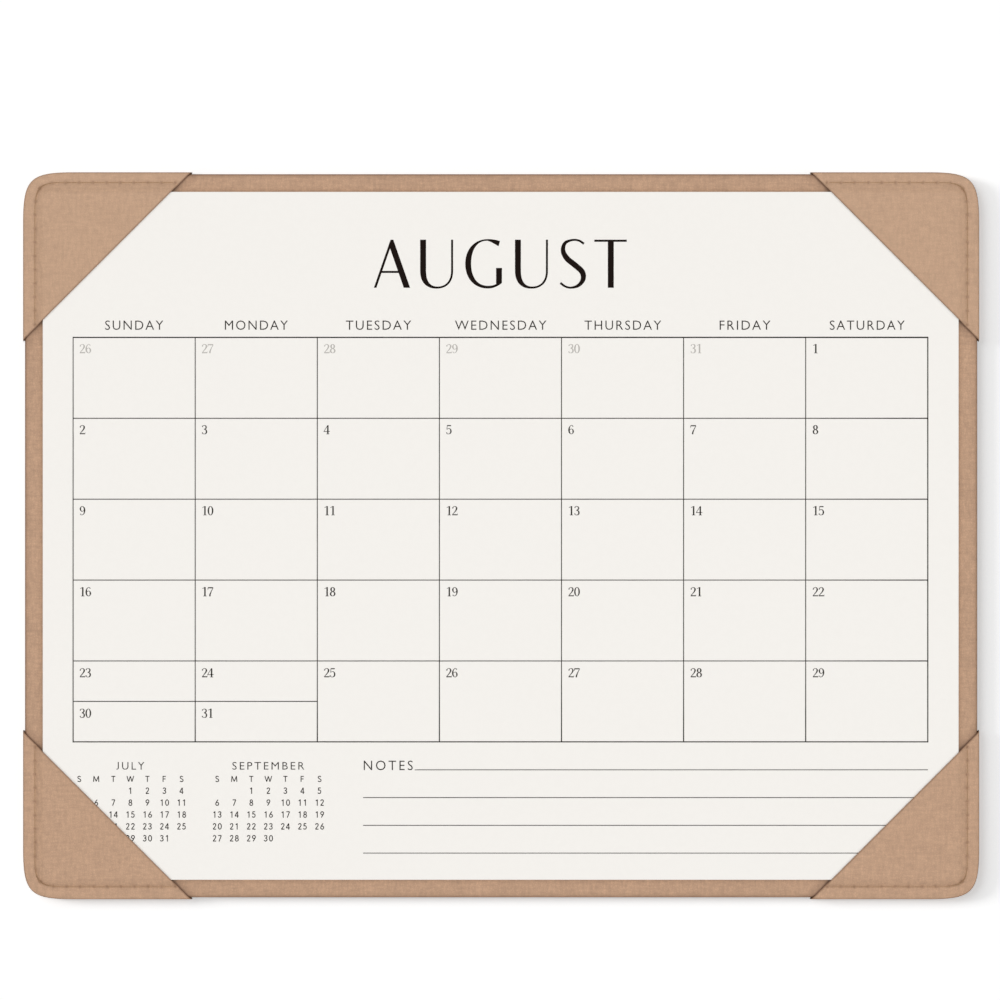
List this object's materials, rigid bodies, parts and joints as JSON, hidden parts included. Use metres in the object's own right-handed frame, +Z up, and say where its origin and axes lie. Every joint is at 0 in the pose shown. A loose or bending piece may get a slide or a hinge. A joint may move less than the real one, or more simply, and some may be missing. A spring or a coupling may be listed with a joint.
{
  "type": "desk calendar",
  "caption": "Flat desk pad calendar: printed month sheets tucked under sewn leather corner pockets on a leather-covered board.",
  "frame": {"origin": "middle of the board's outline, on the plane the calendar rests on", "axes": "+X along the long side of the sheets, left to right when reading; +Y towards the heading of the month; +Z up out of the sheets"},
  "size_m": [0.424, 0.3224, 0.0071],
  "materials": {
    "tan_leather": "fine-grained, matt",
    "pocket_leather": "fine-grained, matt",
    "greyboard": "raw",
    "lining_cloth": "napped",
    "sewing_thread": "twisted",
    "cream_paper": "uncoated, smooth",
    "dark_ink": "printed, matt"
  },
  "bodies": {
    "root": {"core_board": "greyboard", "leather_cover": "tan_leather", "back_lining": "lining_cloth", "calendar_pages": "cream_paper", "corner_pocket_upper_right": "pocket_leather", "corner_pocket_upper_left": "pocket_leather", "corner_pocket_lower_left": "pocket_leather", "corner_pocket_lower_right": "pocket_leather", "needle_thread_upper_right": "sewing_thread", "needle_thread_upper_left": "sewing_thread", "needle_thread_lower_left": "sewing_thread", "needle_thread_lower_right": "sewing_thread", "bobbin_thread_upper_right": "sewing_thread", "bobbin_thread_upper_left": "sewing_thread", "bobbin_thread_lower_left": "sewing_thread", "bobbin_thread_lower_right": "sewing_thread", "month_grid": "dark_ink", "note_rule_1": "dark_ink", "note_rule_2": "dark_ink", "note_rule_3": "dark_ink", "note_rule_4": "dark_ink"}
  },
  "joints": []
}
